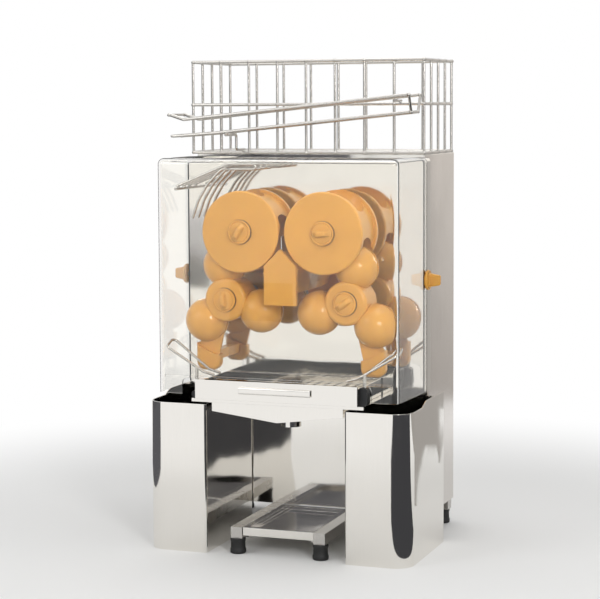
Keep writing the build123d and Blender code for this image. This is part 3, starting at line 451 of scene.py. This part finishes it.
# %% Hand nuts and cover knobs
WING_TURNS = {"right_cup": 5, "left_cup": 60, "right_ball": 35, "left_ball": 95}
to_front = Matrix.Rotation(math.pi / 2, 4, "X")
for body, degrees in WING_TURNS.items():
    low, high, middle = box_mm(body + "_nut")
    wing_turn = to_front @ Matrix.Rotation(math.radians(degrees), 4, "Z")
    seat = (middle.x, high.y, middle.z)
    radius, rise = (high.x - low.x) / 2, high.y - low.y - NUT_BASE
    hand_nut(body + "_nut", body, wing_turn, seat, radius, NUT_FOOT, rise)
    # Painted shade: a thin black ring under the nut draws the shadow line round its edge.
    rim = radius + SHADE_RING_OUT
    profile = [(rim, SKIN_GAP), (rim, SHADE_RING_THICK - SHADE_RING_EDGE)]
    profile += [(rim - SHADE_RING_EDGE, SHADE_RING_THICK), (1.0, SHADE_RING_THICK)]
    bm = bmesh.new()
    lathe(bm, profile, Matrix.Translation(seat) @ to_front, NUT_STEPS)
    add_piece(body + "_nut_shade_ring", bm, body, "black_rubber")
for body, side in (("right_knob", 1), ("left_knob", -1)):
    node = body.replace("knob", "cover_knob")
    low, high, middle = box_mm(node)
    seat = (low.x if side > 0 else high.x, middle.y, middle.z)
    outwards = Matrix.Rotation(side * math.pi / 2, 4, "Y")
    hand_nut(node, body, outwards, seat, (high.z - low.z) / 2, KNOB_FOOT, high.x - low.x - NUT_BASE)

# %% [markdown]
# ## Rubber feet
# A moulded foot has a rounded sole, a drawn-in waist and a flange under the rail. One lathe
# profile gives all of it. The record's mounts say where the four feet stand.

# %% Rubber feet
FOOT_PROFILE = [
    (7.0, 1.2), (8.0, 0), (10.4, 0), (11.5, 0.7), (12.0, 2.0), (12.0, 6.0), (11.3, 7.2), (11.0, 9.0),
    (10.9, 17.0), (11.3, 18.6), (11.6, 19.6), (11.6, 22.4), (11.0, 23.0), (4.0, 23.0),
]
bm = bmesh.new()
for mount in frame["record"]["mounts"]:
    lathe(bm, FOOT_PROFILE, Matrix.Translation(Vector(mount["pos_m"]) / MM))
add_piece("turned_feet", bm, "machine", "black_rubber", ["rubber_feet"])

# %% [markdown]
# ## Weld beads
# The basket, the ramp and the cradle are drawn wire, spot welded where wires cross. A spot weld
# leaves a small flattened bead, and a cut end is rounded off by tumbling. The crossings follow
# from the bays of the grid, so a loop visits them all. Each bead differs a little from the next
# by a fixed rule, so the result is the same on every run.

# %% Bead tool and basket welds
RAIL_R = 2.5
WIRE_R = 2.0
BASKET_BAYS = 8
SIDE_BAYS = 4
MIDDLE_RAIL_Z = 667.0
BASKET_BEAD, RAMP_BEAD, CRADLE_BEAD = 3.1, 2.9, 2.5
BEAD_FLAT = 0.94


def beads(bm, spots, radius, spread=0.12):
    """Flattened beads at points, uneven in size by a fixed rule."""
    for k, spot in enumerate(spots):
        size = radius * (1 + spread * math.sin(2.4 * k))
        arc = [math.pi * (j / 7 - 0.5) for j in range(8)]
        profile = [(max(size * math.cos(a), 0.05), size * BEAD_FLAT * math.sin(a)) for a in arc]
        lathe(bm, profile, Matrix.Translation(spot), 12)


def steps_between(start, end, bays):
    """The ends and the inner places of a number of equal bays."""
    return [start + (end - start) * k / bays for k in range(bays + 1)]


low, high, middle = box_mm("fruit_basket")
rail_z = (low.z + RAIL_R, MIDDLE_RAIL_Z, high.z - RAIL_R)
rail_x = (low.x + RAIL_R, high.x - RAIL_R)
rail_y = (low.y + RAIL_R, high.y - RAIL_R)
uprights = steps_between(*rail_x, BASKET_BAYS)
side_uprights = steps_between(*rail_y, SIDE_BAYS)[1:-1]
spots = [(x, y, z) for x in uprights for y in rail_y for z in rail_z]
spots += [(x, y, z) for x in rail_x for y in side_uprights for z in rail_z]
spots += [(x, y, rail_z[0]) for x in uprights[1:-1] for y in (*rail_y, middle.y)]
bm = bmesh.new()
beads(bm, spots, BASKET_BEAD)
add_piece("basket_welds", bm, "basket", "wire_steel")

# %% Ramp and cradle welds
RAMP_RAILS_Y = (-97.5, -39.5)
RAMP_RODS_Y = (-86.0, -51.0)
RAMP_END_X, RAMP_SADDLE_X = -192.2, 186.2
RAMP_TOP_Z, RAMP_ROD_Z = 680.0, 655.0
RAMP_FLARE_Z, RAMP_TAIL_Z = 652.0, 619.8
RAMP_HOOK = (148.8, -39.5, 674.1)
RAMP_LEG_X, RAMP_LEG_Z = -104.0, 624.0
spots = [(RAMP_END_X, y, RAMP_FLARE_Z) for y in RAMP_RAILS_Y]
spots += [(RAMP_END_X, y, RAMP_TAIL_Z) for y in RAMP_RODS_Y]
spots += [(RAMP_SADDLE_X, y, RAMP_TOP_Z) for y in RAMP_RAILS_Y]
spots += [(RAMP_SADDLE_X, y, RAMP_ROD_Z) for y in RAMP_RODS_Y]
spots += [(RAMP_LEG_X, y, RAMP_LEG_Z) for y in RAMP_RODS_Y] + [RAMP_HOOK]
bm = bmesh.new()
beads(bm, spots, RAMP_BEAD)
add_piece("ramp_welds", bm, "ramp", "wire_steel")

PAN_Y = -34.5
DRUM_MID_Y = -90.5
CRADLE_PITCH = 22
CRADLE_WIRES_Y = [DRUM_MID_Y + (k - 1.5) * CRADLE_PITCH for k in range(4)]
CRADLE_BARS = ((-166.0, 541.8), (-86.0, 574.8))
CRADLE_SHELF_END = (-168.0, 546.0)
CRADLE_BOW_END = (-142.9, 499.2)
bm = bmesh.new()
beads(bm, [(x, y, z + WIRE_R) for x, z in CRADLE_BARS for y in CRADLE_WIRES_Y], CRADLE_BEAD)
ends = [(x, y, z) for x, z in (CRADLE_SHELF_END, CRADLE_BOW_END) for y in CRADLE_WIRES_Y]
beads(bm, ends, WIRE_R, 0.0)
add_piece("cradle_welds", bm, "machine", "wire_steel")

# %% [markdown]
# ## Bin rims
# The bins are folded from sheet and their top edge is dressed smooth, so it shows as a thin bright
# line round the dark mouth. A fine round bar along the edge gives that line. The edge climbs over
# the raised outer side, so the bar follows the same corners and slope.

# %% Bin rims
RIM_R = 0.9
BIN_TOP = 224.0
BIN_FRONT_CORNER, BIN_CORNER = 28.0, 4.0
EAR_FRONT_Y, EAR_RUN = -94.5, 20.0


def tube(bm, points, radius, sides=10):
    """A closed round bar along points, with its section square to the path."""
    points = [Vector(p) for p in points]
    count = len(points)
    rings = []
    for k, point in enumerate(points):
        ahead = (points[(k + 1) % count] - points[k - 1]).normalized()
        across = ahead.cross((0, 0, 1)).normalized()
        over = across.cross(ahead)
        turns = [2 * math.pi * j / sides for j in range(sides)]
        rings.append([point + radius * (math.cos(a) * across + math.sin(a) * over) for a in turns])
    rows = [[bm.verts.new(p) for p in ring] for ring in rings]
    for k in range(count):
        here, after = rows[k], rows[(k + 1) % count]
        for j in range(sides):
            nxt = (j + 1) % sides
            bm.faces.new((here[j], here[nxt], after[nxt], after[j]))


def corner_arc(x, y, radius, start, steps=6):
    """A quarter circle about a point, anticlockwise from a start angle in degrees."""
    angles = [math.radians(start + 90 * k / steps) for k in range(steps + 1)]
    return [(x + radius * math.cos(a), y + radius * math.sin(a)) for a in angles]


for side in ("right", "left"):
    low, high, _ = box_mm(side + "_peel_bin")
    sign = 1 if side == "right" else -1
    inner, outer = sorted((abs(low.x), abs(high.x)))
    x0, x1, y0, y1 = inner + RIM_R, outer - RIM_R, low.y + RIM_R, high.y - RIM_R
    small, large = BIN_CORNER - RIM_R, BIN_FRONT_CORNER - RIM_R
    level = corner_arc(x1 - small, y1 - small, small, 0)
    level += corner_arc(x0 + small, y1 - small, small, 90)
    level += corner_arc(x0 + small, y0 + small, small, 180)
    level += corner_arc(x1 - large, y0 + large, large, 270)
    path = [(x, y, BIN_TOP - RIM_R) for x, y in level]
    path += [(x1, EAR_FRONT_Y, BIN_TOP - RIM_R), (x1, EAR_FRONT_Y + EAR_RUN, high.z - RIM_R)]
    path += [(x1, y1 - BIN_CORNER, high.z - RIM_R)]
    bm = bmesh.new()
    tube(bm, [(sign * x, y, z) for x, y, z in path], RIM_R)
    add_piece(side + "_bin_rim", bm, side + "_bin", "polished_steel")

# %% [markdown]
# ## Painted shade round the chamber
# A thin black rubber strip runs round the panel's raised face, just inside the cover. It is
# painted shade: through the clear sheet it draws the dark shadow line in the gap at the cover's
# rear edge. It is a flat strip with two round corners, lofted along its edge from four-cornered rings.

# %% Painted shade strip round the chamber
# Sizes of the thin black strip that is painted shade round the chamber.
SHADE_STRIP_WIDTH = 2.2
SHADE_STRIP_THICK = 0.25
SHADE_STRIP_CORNER = 6.0
COVER_SHEET = 3.0
COVER_GAP = 0.6
low, high, _ = box_mm("clear_cover")
half, top = high.x - COVER_SHEET - COVER_GAP, high.z - COVER_SHEET - COVER_GAP


def arch_line(inset):
    """The dark strip's edge: up one side, round two corners and down the other."""
    round_r = SHADE_STRIP_CORNER - inset
    line = [(half - inset, low.z)]
    line += corner_arc(half - SHADE_STRIP_CORNER, top - SHADE_STRIP_CORNER, round_r, 0)
    line += corner_arc(SHADE_STRIP_CORNER - half, top - SHADE_STRIP_CORNER, round_r, 90)
    return line + [(inset - half, low.z)]


y0, y1 = PAN_Y - SHADE_STRIP_THICK, PAN_Y - SKIN_GAP
rings = []
for (ax, az), (bx, bz) in zip(arch_line(0), arch_line(SHADE_STRIP_WIDTH)):
    rings.append([(ax, y0, az), (ax, y1, az), (bx, y1, bz), (bx, y0, bz)])
bm = bmesh.new()
loft(bm, rings)
# Painted shade: the black strip draws the shadow line in the gap at the cover's rear edge.
add_piece("cover_shade_strip", bm, "machine", "black_rubber")

# %% [markdown]
# ## The cabinet's back
# Behind, the cabinet has pressed louvres, a mains inlet and flush screws. A louvre is a slot whose
# upper edge is pushed inwards as a quarter round, so that splashes run off. The inlet has three
# flat pins, and each screw a six-sided socket.

# %% Louvres
VENT_ROWS, VENT_PITCH, VENT_TOP, VENT_HALF = 6, 14.0, 540.0, 60.0
LIP_R, LIP_THICK, LIP_SINK = 6.0, 1.2, 0.3
back = box_mm("cabinet_shell")[1].y
bm = bmesh.new()
for row in range(VENT_ROWS):
    z = VENT_TOP - row * VENT_PITCH
    arc = [math.pi / 2 * (1 + k / 8) for k in range(9)]
    lip = [(LIP_R * math.cos(a), LIP_R * math.sin(a)) for a in arc]
    thick = LIP_R + LIP_THICK
    lip += [(thick * math.cos(a), thick * math.sin(a)) for a in reversed(arc)]
    ends = [[(x, back - LIP_SINK + y, z - LIP_R + dz) for y, dz in lip] for x in (-VENT_HALF, VENT_HALF)]
    loft(bm, ends)
add_piece("vent_louvres", bm, "machine", "satin_steel")

# %% Screws
SCREW_R, SOCKET_R = 3.6, 1.8
SCREW_XS = (-165.0, -55.0, 55.0, 165.0)
SCREW_ZS = (52.0, 578.0)


def hexagon(flat, height, steps=24):
    """A six-sided ring with as many points as a round one."""
    ring = []
    for k in range(steps):
        a = 2 * math.pi * k / steps
        r = flat / math.cos((a + math.pi / 6) % (math.pi / 3) - math.pi / 6)
        ring.append((r * math.cos(a), r * math.sin(a), height))
    return ring


def round_ring(radius, height, steps=24):
    """A round ring of points."""
    turns = [2 * math.pi * k / steps for k in range(steps)]
    return [(radius * math.cos(a), radius * math.sin(a), height) for a in turns]


screw = [round_ring(SCREW_R, -0.8), round_ring(SCREW_R, 0.1), round_ring(SCREW_R - 0.3, 0.3)]
screw += [hexagon(SOCKET_R + 0.15, 0.3), hexagon(SOCKET_R, 0.15), hexagon(SOCKET_R, -0.7)]
to_back = Matrix.Rotation(-math.pi / 2, 4, "X")
bm = bmesh.new()
for x in SCREW_XS:
    for z in SCREW_ZS:
        loft(bm, screw, Matrix.Translation((x, back, z)) @ to_back)
add_piece("back_screws", bm, "machine", "machined_steel", crease=30)

# %% Inlet pins
middle = box_mm("power_inlet")[2]
PIN_SPOTS = ((-2.5, -8.5), (2.5, 0), (-2.5, 8.5))
PIN_LEVELS = ((1, 2, -16), (1, 2, -3.5), (0.5, 1.4, -2.5))
pin = [rounded_ring(x, y, height, 6, 24) for x, y, height in PIN_LEVELS]
bm = bmesh.new()
for across, along in PIN_SPOTS:
    loft(bm, pin, Matrix.Translation((middle.x + across, back, middle.z + along)) @ to_back)
add_piece("inlet_pins", bm, "machine", "machined_steel", crease=30)

# %% [markdown]
# ## Floor and world
# The machine stands on a plain pale floor. Past the floor's near part everything the camera, the
# clear cover and the polished steel look at is white, so the steel shows a white studio. The
# near part of the floor is an ordinary pale board, which keeps the machine's shadow.

# %% Floor
FLOOR_REACH = 60.0
NEAR, FAR = 0.5, 1.2


def sees_background(tree):
    """1 for the rays that look at the background: from the camera, mirrors and clear sheet."""
    path = add_node(tree, "ShaderNodeLightPath")
    direct = add_node(
        tree, "ShaderNodeMath",
        {0: path.outputs["Is Camera Ray"], 1: path.outputs["Is Transmission Ray"]}, operation="MAXIMUM",
    )
    either = add_node(
        tree, "ShaderNodeMath", {0: direct.outputs[0], 1: path.outputs["Is Glossy Ray"]},
        operation="MAXIMUM",
    )
    return either.outputs[0]


floor_mesh = bpy.data.meshes.new("studio_floor")
corners = [(-1, -1), (1, -1), (1, 1), (-1, 1)]
floor_mesh.from_pydata([(x * FLOOR_REACH, y * FLOOR_REACH, 0) for x, y in corners], [], [(0, 1, 2, 3)])
floor = bpy.data.objects.new("studio_floor", floor_mesh)
bpy.context.scene.collection.objects.link(floor)
pale, tree, out, place = new_finish("floor_pale_board")
away = add_node(tree, "ShaderNodeVectorMath", {0: place}, operation="LENGTH")
far_mask = add_node(
    tree, "ShaderNodeMapRange",
    {"Value": away.outputs["Value"], "From Min": NEAR, "From Max": FAR}, interpolation_type="SMOOTHSTEP",
)
seen = add_node(
    tree, "ShaderNodeMath", {0: sees_background(tree), 1: far_mask.outputs["Result"]},
    operation="MULTIPLY",
)
board = add_node(tree, "ShaderNodeBsdfDiffuse", {"Color": linear("F2F2F1")})
white = add_node(tree, "ShaderNodeEmission", {"Color": (1, 1, 1, 1), "Strength": 1.0})
mixed = add_node(
    tree, "ShaderNodeMixShader",
    {0: seen.outputs[0], 1: board.outputs["BSDF"], 2: white.outputs["Emission"]},
)
tree.links.new(mixed.outputs[0], out.inputs["Surface"])
floor_mesh.materials.append(pale)
print("floor", FLOOR_REACH * 2, "m wide")

# %% World
AMBIENT = 0.46
world = bpy.data.worlds.new("studio_world")
bpy.context.scene.world = world
world.use_nodes = True
tree = world.node_tree
tree.nodes.clear()
room = add_node(tree, "ShaderNodeBackground", {"Color": (1, 1, 1, 1), "Strength": AMBIENT})
white = add_node(tree, "ShaderNodeBackground", {"Color": (1, 1, 1, 1), "Strength": 1.0})
both = add_node(
    tree, "ShaderNodeMixShader",
    {0: sees_background(tree), 1: room.outputs["Background"], 2: white.outputs["Background"]},
)
add_node(tree, "ShaderNodeOutputWorld", {"Surface": both.outputs[0]})
print("world", AMBIENT)

# %% [markdown]
# ## Lamps and cards
# Three soft lamps light the machine: a key on the right near the camera, which sets the small
# highlights on the drums, a fill on the left and a wide one overhead. Polished steel in an
# all-white room has no form, so a photographer stands grey and black cards around it and lays
# cloths on the floor. Each one here is seen only by mirrors: it throws no shadow and the camera
# looks through it. The dark ones draw the streaks on the bins' round corners, and the grey ones,
# behind on the right, shade the sides of the bin and the cabinet. Three boards are seen only by
# rays that have passed the clear cover, so they shade the panel and leave no edge in the cover.

# %% Lamps
def softbox(name, place, aim, width, height, watts):
    """A rectangular lamp that faces a point."""
    lamp = bpy.data.lights.new(name, "AREA")
    lamp.shape = "RECTANGLE"
    lamp.size, lamp.size_y, lamp.energy = width, height, watts
    made = bpy.data.objects.new(name, lamp)
    made.location = place
    made.rotation_euler = (Vector(aim) - Vector(place)).to_track_quat("-Z", "Y").to_euler()
    bpy.context.scene.collection.objects.link(made)


MIDDLE = (0, 0, 0.35)
softbox("key_right", (1.5, -2.0, 1.1), MIDDLE, 0.5, 0.6, 17)
softbox("fill_left", (-1.6, -2.1, 1.6), MIDDLE, 1.3, 1.5, 13)
softbox("top", (0.1, 0.2, 2.3), MIDDLE, 1.8, 1.4, 17)
bpy.context.scene.view_settings.view_transform = "Standard"
print("three lamps")

# %% Card tools
CARD_TOP = 1.0
CLOTH_LIFT = 0.002
COLD, WARM = "E6E7F2", "F4EFEA"


def card(name, points, low_grey, high_grey, tint=COLD, heights=(0.0, CARD_TOP), behind_cover=False):
    """A flat card, shaded from one height to another, for bare mirrors or for the one in the cover."""
    mesh = bpy.data.meshes.new(name)
    mesh.from_pydata(points, [], [tuple(range(len(points)))])
    made = bpy.data.objects.new(name, mesh)
    made.visible_camera = made.visible_diffuse = made.visible_shadow = False
    made.visible_volume_scatter = False
    made.visible_glossy = not behind_cover
    made.visible_transmission = behind_cover
    bpy.context.scene.collection.objects.link(made)
    material, tree, out, place = new_finish(name + "_board")
    height = add_node(tree, "ShaderNodeSeparateXYZ", {0: place}).outputs["Z"]
    grey = add_node(
        tree, "ShaderNodeMapRange",
        {"Value": height, "From Min": heights[0], "From Max": heights[1],
         "To Min": low_grey, "To Max": high_grey},
    )
    glow = add_node(
        tree, "ShaderNodeEmission", {"Color": linear(tint), "Strength": grey.outputs["Result"]}
    )
    tree.links.new(glow.outputs["Emission"], out.inputs["Surface"])
    mesh.materials.append(material)


def upright(start, end, low=0.0, high=1.0):
    """The corners of an upright card between two points, from one height to another."""
    return [(*start, low), (*end, low), (*end, high), (*start, high)]


def lying(*points):
    """The corners of a cloth that lies on the floor."""
    return [(x, y, CLOTH_LIFT) for x, y in points]


print("card tools ready")

# %% Cards, cloths and boards
CLOTH_GREYS = (0.43, 0.6)
CLOTH_RIGHT = [(0.13, -0.45), (0.02, -1.0), (0.3, -1.9), (1.5, -1.2), (1.5, 0.3), (0.33, 0.05)]
CLOTH_LEFT = [(-0.62, -0.6), (-1.4, -1.7), (-1.4, 0.6), (-0.62, 0.4)]
# The near cloth hangs to a hem that rises in folds, and two more folds lie on the floor.
HEM = [
    (0.38, 0.68, 0.1), (0.39, 0.678, 0.09), (0.395, 0.677, 0.0), (0.403, 0.676, 0.0),
    (0.414, 0.674, 0.025), (0.425, 0.672, 0.0),
]
FOLD_RIGHT = [(0.395, 0.677), (0.375, 0.6), (0.379, 0.6), (0.403, 0.676)]
FOLD_LEFT = [(0.425, 0.672), (0.385, 0.5), (0.315, 0.24), (0.335, 0.24), (0.47, 0.664)]
card("grey_cloth_near", [*HEM, (1.4, 0.5, 0.0), (1.4, 0.5, 1.0), (0.38, 0.68, 1.0)], *CLOTH_GREYS, WARM)
card("grey_fold_right", lying(*FOLD_RIGHT), *CLOTH_GREYS, WARM)
card("grey_fold_left", lying(*FOLD_LEFT), *CLOTH_GREYS, WARM)
card("grey_card_far", upright((0.1, 1.38), (0.9, 1.3)), 0.57, 1.2, WARM)
card("dark_card_right", upright((1.5, -1.2), (1.5, 0.4), 0.0, 0.25), 0.08, 0.34)
card("dark_card_left", upright((-1.4, -1.7), (-1.4, 0.7)), 0.12, 0.35)
card("dark_cloth_right", lying(*CLOTH_RIGHT), 0.07, 0.07)
card("dark_cloth_left", lying(*CLOTH_LEFT), 0.14, 0.14)
card("dark_board_left", upright((-1.45, -3.0), (-0.9, -3.0), 0.5, 0.9), 0.02, 0.2)
card("dark_board_right", upright((0.9, -3.0), (1.5, -3.0), 0.5, 0.9), 0.02, 0.2)
FRONT_LEFT, FRONT_RIGHT = (-1.1, -1.2), (-0.65, -1.2)
FRONT_LOW, FRONT_MIDDLE, FRONT_HIGH = 0.262, 0.336, 0.43
card(
    "dark_board_front", upright(FRONT_LEFT, FRONT_RIGHT, FRONT_LOW, FRONT_MIDDLE), 0.01, 0.04,
    heights=(FRONT_LOW, FRONT_MIDDLE), behind_cover=True,
)
card(
    "grey_board_front", upright(FRONT_LEFT, FRONT_RIGHT, FRONT_MIDDLE, FRONT_HIGH), 0.3, 0.8,
    heights=(FRONT_MIDDLE, FRONT_HIGH), behind_cover=True,
)
card("dark_board_low", upright((-0.5, -1.2), (-0.36, -1.2), 0.22, 0.3), 0.04, 0.1, behind_cover=True)
print("cards and cloths ready")
